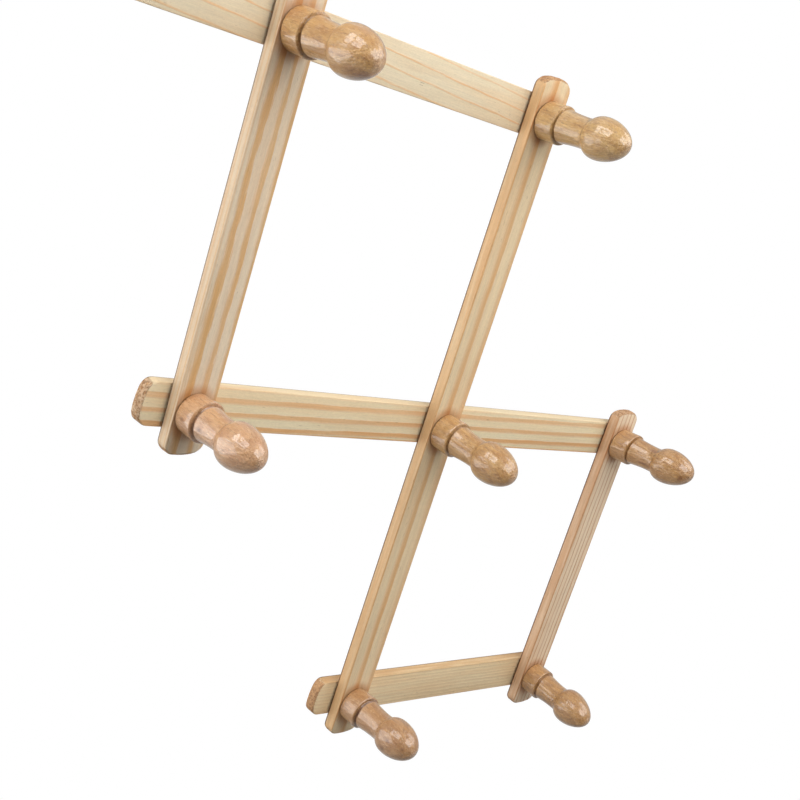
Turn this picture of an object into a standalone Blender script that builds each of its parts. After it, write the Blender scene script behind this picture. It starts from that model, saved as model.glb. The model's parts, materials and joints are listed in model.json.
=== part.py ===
"""Accordion wall rack: eight flat pine slats in two layers, crossed into three
diamonds and pinned at ten pivots by turned wooden pegs.

Frame: +X along the chain of diamonds, +Z up, pegs point to -Y. The wall plane is
y = 0, and the origin is on it behind the centre of the middle diamond.
"""

from math import asin, cos, pi, radians, sin, sqrt

import bmesh
import bpy
from mathutils import Matrix, Vector

MM = 0.001

# ---- driving dimensions ----------------------------------------------------
DIAMONDS = 3                      # openings in the chain
PITCH = 160 * MM                  # between neighbouring pivots along one slat
FOLD_ANGLE = radians(43)          # each slat to the chain axis, as extended here

SLAT_WIDTH = 20 * MM
SLAT_THICKNESS = 6.5 * MM
OVERHANG = {"front": 20 * MM, "rear": 22.5 * MM}  # last pivot to the slat's end
END_CROWN = 30 * MM               # radius of the slightly domed end, seen from the front
CORNER_RADIUS = 6 * MM            # between the domed end and the straight sides
EDGE_EASE = 0.6 * MM              # sanded edges

GAP = 0.3 * MM                    # clearance where two pieces meet

COLLAR_RADIUS = 9.45 * MM
COLLAR_LENGTH = 10.2 * MM
GROOVE_RADIUS = 7.2 * MM
GROOVE_WIDTH = 1.6 * MM
NECK_RADIUS_ROOT = 8.05 * MM
NECK_RADIUS_TIP = 7.15 * MM
HEAD_START = 27.2 * MM            # all peg lengths are measured from the collar's base
HEAD_RADIUS = 10.3 * MM
HEAD_WIDEST = 0.30                # share of the head's length
HEAD_TAPER = 1.9                  # exponent of the head's outline towards the tip
PEG_LENGTH = 49.0 * MM
TENON_RADIUS = 4.4 * MM

BORE_RADIUS = 4.75 * MM           # for the tenon, in both slats
COUNTERBORE_RADIUS = 7.0 * MM     # in the back of each rear slat
COUNTERBORE_DEPTH = 3.6 * MM

WASHER_RADIUS = 6.0 * MM
WASHER_HOLE_RADIUS = 2.2 * MM
WASHER_THICKNESS = 1.0 * MM

SCREW_RADIUS = 1.75 * MM
SCREW_LENGTH = 16 * MM            # under the head
SCREW_POINT = 3.5 * MM
SCREW_HEAD_RADIUS = 3.5 * MM
SCREW_HEAD_HEIGHT = 1.8 * MM
PILOT_RADIUS = 2.05 * MM

PEG_SEGMENTS = 16
BORE_SEGMENTS = 16
FASTENER_SEGMENTS = 12
CROWN_STEPS = 2
CORNER_STEPS = 5

# ---- places worked out from them -------------------------------------------
REAR_LAYER = -SLAT_THICKNESS / 2                      # y of each layer's mid plane
FRONT_LAYER = REAR_LAYER - SLAT_THICKNESS - GAP
COLLAR_BASE = FRONT_LAYER - SLAT_THICKNESS / 2 - GAP  # y of the peg's collar base
WASHER_SEAT = -COUNTERBORE_DEPTH                      # y of the counterbore's floor
TENON_END = WASHER_SEAT - GAP
TENON_LENGTH = TENON_END - COLLAR_BASE
SCREW_SEAT = WASHER_SEAT + GAP + WASHER_THICKNESS + GAP
PILOT_DEPTH = SCREW_LENGTH - (SCREW_SEAT - TENON_END) + 2 * MM

# Each hinged slat: the slat that carries it, and the pivot that it turns on.
ROOT_SLAT = "rear_slat_2"
HINGES = {
    ROOT_SLAT: (None, "middle_2"),
    "front_slat_2": (ROOT_SLAT, "middle_2"),
    "front_slat_1": (ROOT_SLAT, "bottom_1"),
    "front_slat_3": (ROOT_SLAT, "top_2"),
    "rear_slat_1": ("front_slat_2", "top_1"),
    "rear_slat_3": ("front_slat_3", "middle_3"),
    "rear_slat_4": ("front_slat_3", "bottom_3"),
    "front_slat_4": ("rear_slat_3", "top_3"),
}


def pivots():
    """Every pivot by name, with its place in the wall plane."""
    step = 2 * PITCH * cos(FOLD_ANGLE)
    rise = PITCH * sin(FOLD_ANGLE)
    places = {}
    for i in range(1, DIAMONDS + 2):
        x = (i - 1 - DIAMONDS / 2) * step
        places[f"middle_{i}"] = Vector((x, 0, 0))
        if i <= DIAMONDS:
            places[f"top_{i}"] = Vector((x + step / 2, 0, rise))
            places[f"bottom_{i}"] = Vector((x + step / 2, 0, -rise))
    return places


def stations(layer, index):
    """The pivots on one slat, each with its number of pitches from the middle one.

    Rear slats rise towards +X, front slats fall towards +X.
    """
    low, high = ("bottom", "top") if layer == "rear" else ("top", "bottom")
    found = [(0, f"middle_{index}")]
    if index > 1:
        found.insert(0, (-1, f"{low}_{index - 1}"))
    if index <= DIAMONDS:
        found.append((1, f"{high}_{index}"))
    return found


# ---- scene, collections and materials --------------------------------------
def clear_scene():
    for item in list(bpy.data.objects):
        bpy.data.objects.remove(item)


def collection(name):
    made = bpy.data.collections.new(name)
    bpy.context.scene.collection.children.link(made)
    return made


def material(name, colour, roughness, metallic=0.0):
    made = bpy.data.materials.new(name)
    made.use_nodes = True
    shader = made.node_tree.nodes["Principled BSDF"]
    shader.inputs["Base Color"].default_value = (*colour, 1.0)
    shader.inputs["Roughness"].default_value = roughness
    shader.inputs["Metallic"].default_value = metallic
    return made


def add(name, mesh, home, place=None):
    """A named object in a collection, turned so that its own +Z points to -Y."""
    made = bpy.data.objects.new(name, mesh)
    home.objects.link(made)
    made.matrix_world = Matrix.Translation(place or Vector()) @ Matrix.Rotation(pi / 2, 4, "X")
    return made


# ---- turned pieces ---------------------------------------------------------
def turned(name, profile, segments, home, place, closed=False):
    """Spin a profile of (radius, height) points round the piece's own Z.

    The points run down the outer side. An open profile starts and ends on the axis,
    and a closed one makes a ring.
    """
    mesh = bpy.data.meshes.new(name)
    edges = [(i, i + 1) for i in range(len(profile) - 1)]
    if closed:
        edges.append((len(profile) - 1, 0))
    mesh.from_pydata([(r, 0, z) for r, z in profile], edges, [])
    piece = add(name, mesh, home, place)
    spin = piece.modifiers.new("spin", "SCREW")
    spin.angle = 2 * pi
    spin.steps = segments
    spin.render_steps = segments
    spin.use_merge_vertices = True
    spin.merge_threshold = 0.00001
    return piece


def head_radius(share):
    """The head's radius at a share of its length: a quarter ellipse, then an egg's taper."""
    if share < HEAD_WIDEST:
        back = 1 - share / HEAD_WIDEST
        start = NECK_RADIUS_TIP
        return start + (HEAD_RADIUS - start) * sqrt(1 - back * back)
    along = (share - HEAD_WIDEST) / (1 - HEAD_WIDEST)
    return HEAD_RADIUS * sqrt(max(0.0, 1 - along**HEAD_TAPER))


def neck_radius(share):
    """The neck's radius at a share of its length, slightly waisted."""
    return NECK_RADIUS_TIP + (NECK_RADIUS_ROOT - NECK_RADIUS_TIP) * (1 - share) ** 1.6


def peg_profile():
    """From the tip down to the tenon's end, and up the blind pilot hole."""
    head_length = PEG_LENGTH - HEAD_START
    neck_start = COLLAR_LENGTH + GROOVE_WIDTH
    points = [(0, PEG_LENGTH)]
    for share in (0.985, 0.94, 0.86, 0.74, 0.58, 0.42, HEAD_WIDEST, 0.12, 0.03):
        points.append((head_radius(share), HEAD_START + share * head_length))
    for share in (1.0, 0.6, 0.25, 0.0):
        points.append((neck_radius(share), neck_start + share * (HEAD_START - neck_start)))
    points += [
        (GROOVE_RADIUS, neck_start - 0.2 * MM),
        (GROOVE_RADIUS, COLLAR_LENGTH),
        (COLLAR_RADIUS - EDGE_EASE, COLLAR_LENGTH),
        (COLLAR_RADIUS, COLLAR_LENGTH - EDGE_EASE),
        (COLLAR_RADIUS, 0),
        (TENON_RADIUS, 0),
        (TENON_RADIUS, -TENON_LENGTH),
        (PILOT_RADIUS, -TENON_LENGTH),
        (PILOT_RADIUS, PILOT_DEPTH - TENON_LENGTH),
        (0, PILOT_DEPTH - TENON_LENGTH + PILOT_RADIUS),
    ]
    return points


def washer_profile():
    half = WASHER_THICKNESS / 2
    return [
        (WASHER_RADIUS, half),
        (WASHER_RADIUS, -half),
        (WASHER_HOLE_RADIUS, -half),
        (WASHER_HOLE_RADIUS, half),
    ]


def screw_profile():
    """From the point down to the domed head; heights are above the head's seat."""
    points = [
        (0, SCREW_LENGTH),
        (SCREW_RADIUS, SCREW_LENGTH - SCREW_POINT),
        (SCREW_RADIUS, 0),
        (SCREW_HEAD_RADIUS, 0),
    ]
    for angle in (25, 55):
        turn = radians(angle)
        points.append((SCREW_HEAD_RADIUS * cos(turn), -SCREW_HEAD_HEIGHT * sin(turn)))
    points.append((0, -SCREW_HEAD_HEIGHT))
    return points


def bore_profile(layer):
    """A cutter through one slat; in the rear layer it steps out to the counterbore."""
    beyond = SLAT_THICKNESS
    if layer == "front":
        return [(0, beyond), (BORE_RADIUS, beyond), (BORE_RADIUS, -beyond), (0, -beyond)]
    step = COUNTERBORE_DEPTH - SLAT_THICKNESS / 2
    return [
        (0, beyond),
        (BORE_RADIUS, beyond),
        (BORE_RADIUS, step),
        (COUNTERBORE_RADIUS, step),
        (COUNTERBORE_RADIUS, -beyond),
        (0, -beyond),
    ]


# ---- slats -----------------------------------------------------------------
def arc(centre, radius, start, end, steps):
    """Points along an arc, anticlockwise, both ends included."""
    turns = [start + (end - start) * i / steps for i in range(steps + 1)]
    return [(centre[0] + radius * cos(t), centre[1] + radius * sin(t)) for t in turns]


def slat_outline(start, end):
    """The slat from the front: straight sides, and a domed end with round corners."""
    rise = SLAT_WIDTH / 2 - CORNER_RADIUS
    reach = END_CROWN - CORNER_RADIUS
    meet = asin(rise / reach)
    inset = END_CROWN - reach * cos(meet)
    dome = (end - END_CROWN, 0)
    right = [(end - inset, -rise), (end - inset, rise)]
    points = arc(right[0], CORNER_RADIUS, -pi / 2, -meet, CORNER_STEPS)
    points += arc(dome, END_CROWN, -meet, meet, CROWN_STEPS)[1:-1]
    points += arc(right[1], CORNER_RADIUS, meet, pi / 2, CORNER_STEPS)
    return points + [(start + end - x, -y) for x, y in points]


def plate_mesh(name, outline, thickness):
    """A flat outline given a thickness, as a welded mesh."""
    curve = bpy.data.curves.new(name, "CURVE")
    curve.dimensions = "2D"
    curve.fill_mode = "BOTH"
    curve.extrude = thickness / 2
    spline = curve.splines.new("POLY")
    spline.points.add(len(outline) - 1)
    for point, (x, y) in zip(spline.points, outline):
        point.co = (x, y, 0, 1)
    spline.use_cyclic_u = True
    guide = bpy.data.objects.new(name + "_outline", curve)
    bpy.context.scene.collection.objects.link(guide)
    evaluated = guide.evaluated_get(bpy.context.evaluated_depsgraph_get())
    mesh = bpy.data.meshes.new_from_object(evaluated)
    bpy.data.objects.remove(guide)
    weld(mesh)
    return mesh


def weld(mesh):
    """Join the outline's caps to its sides, and give it flat faces of one piece."""
    shell = bmesh.new()
    shell.from_mesh(mesh)
    bmesh.ops.remove_doubles(shell, verts=shell.verts, dist=0.00001)
    bmesh.ops.dissolve_limit(
        shell, angle_limit=radians(1), verts=shell.verts, edges=shell.edges
    )
    bmesh.ops.recalc_face_normals(shell, faces=shell.faces)
    shell.to_mesh(mesh)
    shell.free()
    mesh.shade_smooth()
    mesh.set_sharp_from_angle(angle=radians(30))


def slat(name, layer, index, places, home, cutters, finish):
    """One slat with its origin on the pivot that it turns on, bored at every pivot."""
    points = stations(layer, index)
    hinge = HINGES[name][1]
    zero = next(number for number, pivot in points if pivot == hinge)
    start = (points[0][0] - zero) * PITCH - OVERHANG[layer]
    end = (points[-1][0] - zero) * PITCH + OVERHANG[layer]
    mesh = plate_mesh(name, slat_outline(start, end), SLAT_THICKNESS)
    mesh.materials.append(finish)
    depth = Vector((0, REAR_LAYER if layer == "rear" else FRONT_LAYER, 0))
    piece = add(name, mesh, home, places[hinge] + depth)
    slope = FOLD_ANGLE if layer == "rear" else -FOLD_ANGLE
    piece.matrix_world = piece.matrix_world @ Matrix.Rotation(slope, 4, "Z")
    ease = piece.modifiers.new("eased_edges", "BEVEL")
    ease.width = EDGE_EASE
    ease.segments = 2
    ease.limit_method = "ANGLE"
    ease.angle_limit = radians(60)
    for _, pivot in points:
        bore = turned(
            f"{name}_bore_{pivot}",
            bore_profile(layer),
            BORE_SEGMENTS,
            cutters,
            places[pivot] + depth,
        )
        bore.hide_render = True
        bore.display_type = "WIRE"
        cut = piece.modifiers.new(f"bore_{pivot}", "BOOLEAN")
        cut.operation = "DIFFERENCE"
        cut.object = bore
    return piece


# ---- the rack --------------------------------------------------------------
def keep_in_place(child, parent):
    """Parent one piece to another without moving it."""
    child.parent = parent
    child.matrix_parent_inverse = parent.matrix_world.inverted()


def build():
    clear_scene()
    home = collection("accordion_peg_rack")
    cutters = collection("cutters")
    front_pine = material("pine_front", (0.80, 0.62, 0.40), 0.55)
    rear_pine = material("pine_rear", (0.84, 0.70, 0.48), 0.55)
    beech = material("varnished_beech", (0.66, 0.41, 0.22), 0.25)
    steel = material("zinc_plated_steel", (0.62, 0.62, 0.60), 0.35, 1.0)
    places = pivots()

    slats = {}
    riders = {}
    for layer, finish in (("rear", rear_pine), ("front", front_pine)):
        for index in range(1, DIAMONDS + 2):
            name = f"{layer}_slat_{index}"
            slats[name] = slat(name, layer, index, places, home, cutters, finish)
            if layer == "rear":
                riders.update({pivot: slats[name] for _, pivot in stations(layer, index)})

    for pivot, place in places.items():
        peg = turned(
            f"peg_{pivot}",
            peg_profile(),
            PEG_SEGMENTS,
            home,
            place + Vector((0, COLLAR_BASE, 0)),
        )
        washer = turned(
            f"washer_{pivot}",
            washer_profile(),
            FASTENER_SEGMENTS,
            home,
            place + Vector((0, WASHER_SEAT + GAP + WASHER_THICKNESS / 2, 0)),
            closed=True,
        )
        screw = turned(
            f"screw_{pivot}",
            screw_profile(),
            FASTENER_SEGMENTS,
            home,
            place + Vector((0, SCREW_SEAT, 0)),
        )
        peg.data.materials.append(beech)
        washer.data.materials.append(steel)
        screw.data.materials.append(steel)
        bpy.context.view_layer.update()
        for piece in (peg, washer, screw):
            keep_in_place(piece, riders[pivot])

    bpy.context.view_layer.update()
    for name, (carrier, _) in HINGES.items():
        if carrier:
            keep_in_place(slats[name], slats[carrier])


build()
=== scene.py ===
"""Looks of the accordion wall peg rack: fine slats, turned pegs and fasteners built
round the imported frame, with procedural pine, varnished beech and zinc."""

import json
import random
from math import asin, atan2, cos, hypot, pi, radians, sin, sqrt

import bmesh
import bpy
from mathutils import Matrix, Vector, noise


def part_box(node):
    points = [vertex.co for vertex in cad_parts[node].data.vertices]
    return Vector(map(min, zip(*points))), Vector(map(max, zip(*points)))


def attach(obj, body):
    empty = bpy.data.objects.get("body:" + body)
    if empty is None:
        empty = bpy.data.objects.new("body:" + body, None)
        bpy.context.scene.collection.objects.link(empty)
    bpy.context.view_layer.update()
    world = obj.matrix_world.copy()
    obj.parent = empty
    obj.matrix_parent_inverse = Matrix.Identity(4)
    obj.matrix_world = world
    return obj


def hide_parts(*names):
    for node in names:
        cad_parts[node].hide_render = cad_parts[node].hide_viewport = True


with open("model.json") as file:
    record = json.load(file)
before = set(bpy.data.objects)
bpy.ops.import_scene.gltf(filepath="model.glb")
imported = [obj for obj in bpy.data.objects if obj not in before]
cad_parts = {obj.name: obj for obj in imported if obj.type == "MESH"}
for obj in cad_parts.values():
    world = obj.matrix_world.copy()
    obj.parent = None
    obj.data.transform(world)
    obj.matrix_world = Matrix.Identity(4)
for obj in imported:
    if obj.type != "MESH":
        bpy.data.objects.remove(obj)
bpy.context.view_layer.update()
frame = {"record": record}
MM = 0.001

# ---- what the frame says ---------------------------------------------------


def middle_of(node):
    low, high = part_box(node)
    return (low + high) / 2


PIVOTS = [f"middle_{i}" for i in range(1, 5)]
PIVOTS += [f"{row}_{i}" for row in ("top", "bottom") for i in range(1, 4)]
SPAN = middle_of("peg_top_1") - middle_of("peg_middle_1")
PITCH = hypot(SPAN.x, SPAN.z)
FOLD_ANGLE = atan2(SPAN.z, SPAN.x)
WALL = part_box("rear_slat_1")[1].y
SLAT_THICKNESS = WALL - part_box("rear_slat_1")[0].y
FRONT_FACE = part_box("front_slat_1")[0].y
GAP = 0.3 * MM
COLLAR_BASE = FRONT_FACE - GAP
PEG_LENGTH = COLLAR_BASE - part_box("peg_top_1")[0].y
TENON_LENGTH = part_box("peg_top_1")[1].y - COLLAR_BASE
BODY_OF = {
    node: body
    for body, nodes in frame["record"]["behaviour"]["bodies"].items()
    for node in nodes
}

# ---- sizes of what is seen, in metres --------------------------------------
SLAT_WIDTH = 20 * MM
OVERHANG = {"front": 20 * MM, "rear": 22.5 * MM}
END_CROWN = 30 * MM
CORNER_RADIUS = 6 * MM
LONG_EDGE_EASE = 0.55 * MM
END_EDGE_EASE = 2.1 * MM
BACK_EDGE_EASE = 0.9 * MM
BORE_RADIUS = 4.75 * MM
COUNTERBORE_RADIUS = 7.0 * MM
COUNTERBORE_DEPTH = 3.6 * MM
BORE_EASE = 0.25 * MM
BORE_SEGMENTS = 48
CORNER_STEPS = 8
CROWN_STEPS = 8
SIDE_STEP = 6 * MM
SIDE_WEAR = 0.06 * MM
END_WEAR = 0.18 * MM

COLLAR_RADIUS = 9.4 * MM
COLLAR_LENGTH = 10.2 * MM
GROOVE_RADIUS = 7.3 * MM
NECK_RADIUS_ROOT = 8.05 * MM
NECK_RADIUS_TIP = 7.15 * MM
HEAD_START = 26.9 * MM
HEAD_RADIUS = 10.2 * MM
HEAD_STEP = 0.9 * MM
NIB_RADIUS = 1.5 * MM
# how full the back of the head is, where along it it is widest, and how full its nose is
SHOULDER = 2.8
HEAD_WIDEST = 0.31
HEAD_TAPER = 1.78
TENON_RADIUS = 4.4 * MM
PILOT_RADIUS = 2.05 * MM
PILOT_DEPTH = 16.1 * MM
PEG_SEGMENTS = 72
NOSE_STEPS = 34
HEEL_STEPS = 14
NECK_STEPS = 14

WASHER_RADIUS = 6.0 * MM
WASHER_HOLE_RADIUS = 2.2 * MM
WASHER_THICKNESS = 1.0 * MM
WASHER_EDGE = 0.18 * MM
WASHER_SEGMENTS = 56
SCREW_RADIUS = 1.75 * MM
SCREW_CORE_RADIUS = 1.2 * MM
SCREW_LENGTH = 16 * MM
SCREW_POINT = 3.5 * MM
SCREW_THREAD_PITCH = 1.6 * MM
SCREW_HEAD_RADIUS = 3.5 * MM
SCREW_HEAD_HEIGHT = 1.8 * MM
SCREW_SEGMENTS = 40
SHANK_STEPS = 88
PAN_STEPS = 9
RECESS_DEPTH = 1.35 * MM


# ---- shader building -------------------------------------------------------
class Shader:
    """A material's node tree, with short calls for the few nodes that are used."""

    def __init__(self, name, stand=None):
        """stand is the matrix a piece's mesh was moved by, which the pattern undoes."""
        self.material = bpy.data.materials.new(name)
        self.material.use_nodes = True
        self.tree = self.material.node_tree
        self.surface = self.tree.nodes["Principled BSDF"]
        coordinates = self.tree.nodes.new("ShaderNodeTexCoord")
        # the piece's own coordinates, in millimetres
        stand = stand or Matrix()
        turned = stand.to_3x3().to_4x4()
        self.normal = self.undone(coordinates.outputs["Normal"], turned, 1.0)
        self.place = self.undone(coordinates.outputs["Object"], stand, MM)

    def undone(self, point, stand, size):
        """A point as it was before stand moved it, in units of size."""
        node = self.tree.nodes.new("ShaderNodeMapping")
        node.vector_type = "TEXTURE"
        self.put(node.inputs["Vector"], point)
        node.inputs["Location"].default_value = stand.to_translation()
        node.inputs["Rotation"].default_value = stand.to_euler()
        node.inputs["Scale"].default_value = (size, size, size)
        return node.outputs["Vector"]

    def put(self, socket, value):
        if isinstance(value, bpy.types.NodeSocket):
            self.tree.links.new(value, socket)
        elif isinstance(value, tuple) and len(value) == 3 and socket.type == "RGBA":
            socket.default_value = (*value, 1.0)
        else:
            socket.default_value = value

    def vector(self, operation, a, b=None):
        node = self.tree.nodes.new("ShaderNodeVectorMath")
        node.operation = operation
        self.put(node.inputs[0], a)
        if b is not None:
            self.put(node.inputs[1], b)
        return node.outputs["Value" if operation in ("DOT_PRODUCT", "LENGTH") else "Vector"]

    def along(self, axis):
        """How far a point lies along an axis of the piece, in millimetres."""
        return self.vector("DOT_PRODUCT", self.place, axis)

    def faces(self, axis):
        """How squarely the surface faces an axis of the piece either way, from 0 to 1."""
        return self.math("ABSOLUTE", self.vector("DOT_PRODUCT", self.normal, axis))

    def product(self, *factors):
        out = factors[0]
        for factor in factors[1:]:
            out = self.math("MULTIPLY", out, factor)
        return out

    def math(self, operation, a, b=0.0, c=0.0):
        node = self.tree.nodes.new("ShaderNodeMath")
        node.operation = operation
        for socket, value in zip(node.inputs, (a, b, c)):
            self.put(socket, value)
        return node.outputs[0]

    def remap(self, value, low, high, to_low=0.0, to_high=1.0, smooth=True):
        node = self.tree.nodes.new("ShaderNodeMapRange")
        node.interpolation_type = "SMOOTHSTEP" if smooth else "LINEAR"
        for socket, given in zip(node.inputs, (value, low, high, to_low, to_high)):
            self.put(socket, given)
        return node.outputs[0]

    def noise(self, scales, seed=0.0, detail=2.0, roughness=0.5):
        """Noise with so many cycles a millimetre along each of the piece's axes."""
        stretched = self.vector("MULTIPLY", self.place, scales)
        moved = self.vector("ADD", stretched, (seed, seed * 1.7, seed * 0.6))
        node = self.tree.nodes.new("ShaderNodeTexNoise")
        self.put(node.inputs["Vector"], moved)
        node.inputs["Scale"].default_value = 1.0
        node.inputs["Detail"].default_value = detail
        node.inputs["Roughness"].default_value = roughness
        return node.outputs["Fac"]

    def noise_along(self, value, seed=0.0, detail=1.0):
        """Noise of one number."""
        node = self.tree.nodes.new("ShaderNodeTexNoise")
        node.noise_dimensions = "1D"
        self.put(node.inputs["W"], self.math("ADD", value, seed))
        node.inputs["Scale"].default_value = 1.0
        node.inputs["Detail"].default_value = detail
        return node.outputs["Fac"]

    def per_ring(self, count, seed):
        """A number from 0 to 1 that is the same all over one growth ring."""
        node = self.tree.nodes.new("ShaderNodeTexWhiteNoise")
        node.noise_dimensions = "1D"
        self.put(node.inputs["W"], self.math("ADD", count, seed))
        return node.outputs["Value"]

    def mix(self, share, a, b, blend="MIX"):
        node = self.tree.nodes.new("ShaderNodeMix")
        node.data_type = "RGBA"
        node.blend_type = blend
        self.put(node.inputs["Factor"], share)
        self.put(node.inputs["A"], a)
        self.put(node.inputs["B"], b)
        return node.outputs["Result"]

    def tint(self, colour, amount):
        """A colour made lighter or darker by a number near 1."""
        grey = self.tree.nodes.new("ShaderNodeCombineColor")
        for socket in grey.inputs:
            self.put(socket, amount)
        return self.mix(1.0, colour, grey.outputs[0], "MULTIPLY")

    def bump(self, height):
        """Height is in millimetres."""
        node = self.tree.nodes.new("ShaderNodeBump")
        node.inputs["Strength"].default_value = 1.0
        node.inputs["Distance"].default_value = MM
        self.put(node.inputs["Height"], height)
        self.put(self.surface.inputs["Normal"], node.outputs["Normal"])

    def total(self, *terms):
        out = terms[0]
        for term in terms[1:]:
            out = self.math("ADD", out, term)
        return out

    def rings(self, radius, spacing, phase, seed):
        """How far into its growth ring a point is, from 0 to 1, and the ring's count."""
        turns = self.math("ADD", self.math("DIVIDE", radius, spacing), phase)
        uneven = self.noise_along(self.math("MULTIPLY", turns, 0.37), seed)
        turns = self.math("MULTIPLY_ADD", uneven, 0.3, self.math("SUBTRACT", turns, 0.15))
        return self.math("FRACT", turns), self.math("FLOOR", turns)


def linear(red, green, blue):
    """A colour given as it is seen, from 0 to 255, as the shader's linear numbers."""
    def one(value):
        value /= 255
        return value / 12.92 if value <= 0.04045 else ((value + 0.055) / 1.055) ** 2.4

    return one(red), one(green), one(blue)


# ---- pine ------------------------------------------------------------------
# Each slat was ripped from another place in another board, so each has its own rings.
# face and edge are the ring widths seen across the front and on the side, and first is
# where one dark line crosses the front, all in millimetres; run is how fast the lines
# drift across as they go along; late is the dark share of a ring, soft how gently it
# sets in, depth how dark it is, and side what share of that shows on the long sides.
# flank is how dark a line runs along the two long edges, at -Y and +Y, chipped is how
# much pale broken wood shows at the sawn ends, and tone names a row of PINE_TONES.
PINE = {
    "front_slat_1": dict(
        face=5.4, edge=4.5, first=2.0, run=0.010, late=0.30, soft=0.25, depth=0.7, side=0.5,
        flank=(0.5, 0.2), chipped=0.4, tone="tan",
    ),
    "front_slat_2": dict(
        face=7.4, edge=3.0, first=-3.0, run=0.0, late=0.22, soft=0.26, depth=0.86, side=0.6,
        flank=(0.35, 0.6), chipped=0.3, tone="grey",
    ),
    "front_slat_3": dict(
        face=9.4, edge=11.0, first=-0.8, run=0.0, late=0.14, soft=0.30, depth=0.75, side=0.8,
        flank=(0.9, 0.8), chipped=0.2, tone="tan",
    ),
    "front_slat_4": dict(
        face=3.6, edge=7.0, first=-9.2, run=0.0, late=0.12, soft=0.18, depth=0.85, side=0.75,
        flank=(1.0, 0.3), chipped=0.5, tone="rose",
    ),
    "rear_slat_1": dict(
        face=5.0, edge=5.0, first=3.0, run=-0.03, late=0.14, soft=0.14, depth=0.7, side=0.8,
        flank=(0.2, 0.2), chipped=0.6, tone="warm",
    ),
    "rear_slat_2": dict(
        face=6.1, edge=12.0, first=7.9, run=0.052, late=0.02, soft=0.06, depth=0.9, side=0.8,
        flank=(0.2, 0.1), chipped=0.5, tone="cream",
    ),
    "rear_slat_3": dict(
        face=6.3, edge=28.0, first=0.4, run=-0.010, late=0.22, soft=0.22, depth=0.85, side=0.7,
        flank=(0.9, 0.2), chipped=1.0, tone="warm",
    ),
    "rear_slat_4": dict(
        face=2.1, edge=2.6, first=-5.5, run=0.004, late=0.26, soft=0.40, depth=0.24, side=1.5,
        flank=(2.4, 2.0), chipped=0.1, tone="dull",
    ),
}
# pale spring wood and dark summer wood
PINE_TONES = {
    "grey": (linear(228, 209, 182), linear(215, 161, 90)),
    "tan": (linear(234, 211, 173), linear(219, 161, 96)),
    "rose": (linear(243, 220, 190), linear(205, 148, 98)),
    "cream": (linear(239, 222, 190), linear(240, 195, 140)),
    "warm": (linear(239, 222, 186), linear(228, 169, 107)),
    "dull": (linear(242, 219, 178), linear(209, 159, 102)),
}
PINE_BLOTCH = linear(246, 212, 176)
PINE_DUCT = linear(128, 84, 48)
# painted shade for the slats' back edges, where the gap between the layers lies in shadow
PINE_BACK_EDGE_SHADE = linear(92, 44, 14)
# painted shade round the collars, partly grime
PINE_COLLAR_SHADE_AND_GRIME = linear(210, 156, 104)
END_PORE = linear(130, 76, 38)
END_WOOD = linear(204, 156, 110)
END_RING = linear(176, 120, 74)
END_CHIP = linear(240, 208, 174)
END_CRACK = linear(168, 108, 66)
# how far off the tree's middle is, in millimetres
PITH = 60.0
# where in a ring its dark line is darkest
LINE_AT = 0.88
# how far from the slat's middle the lines along its edges run, in millimetres
FLANK_AT = 9.6
# how far the painted shade round a collar, partly grime, spreads, in millimetres
COLLAR_SHADE_REACH = 5.0


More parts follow.
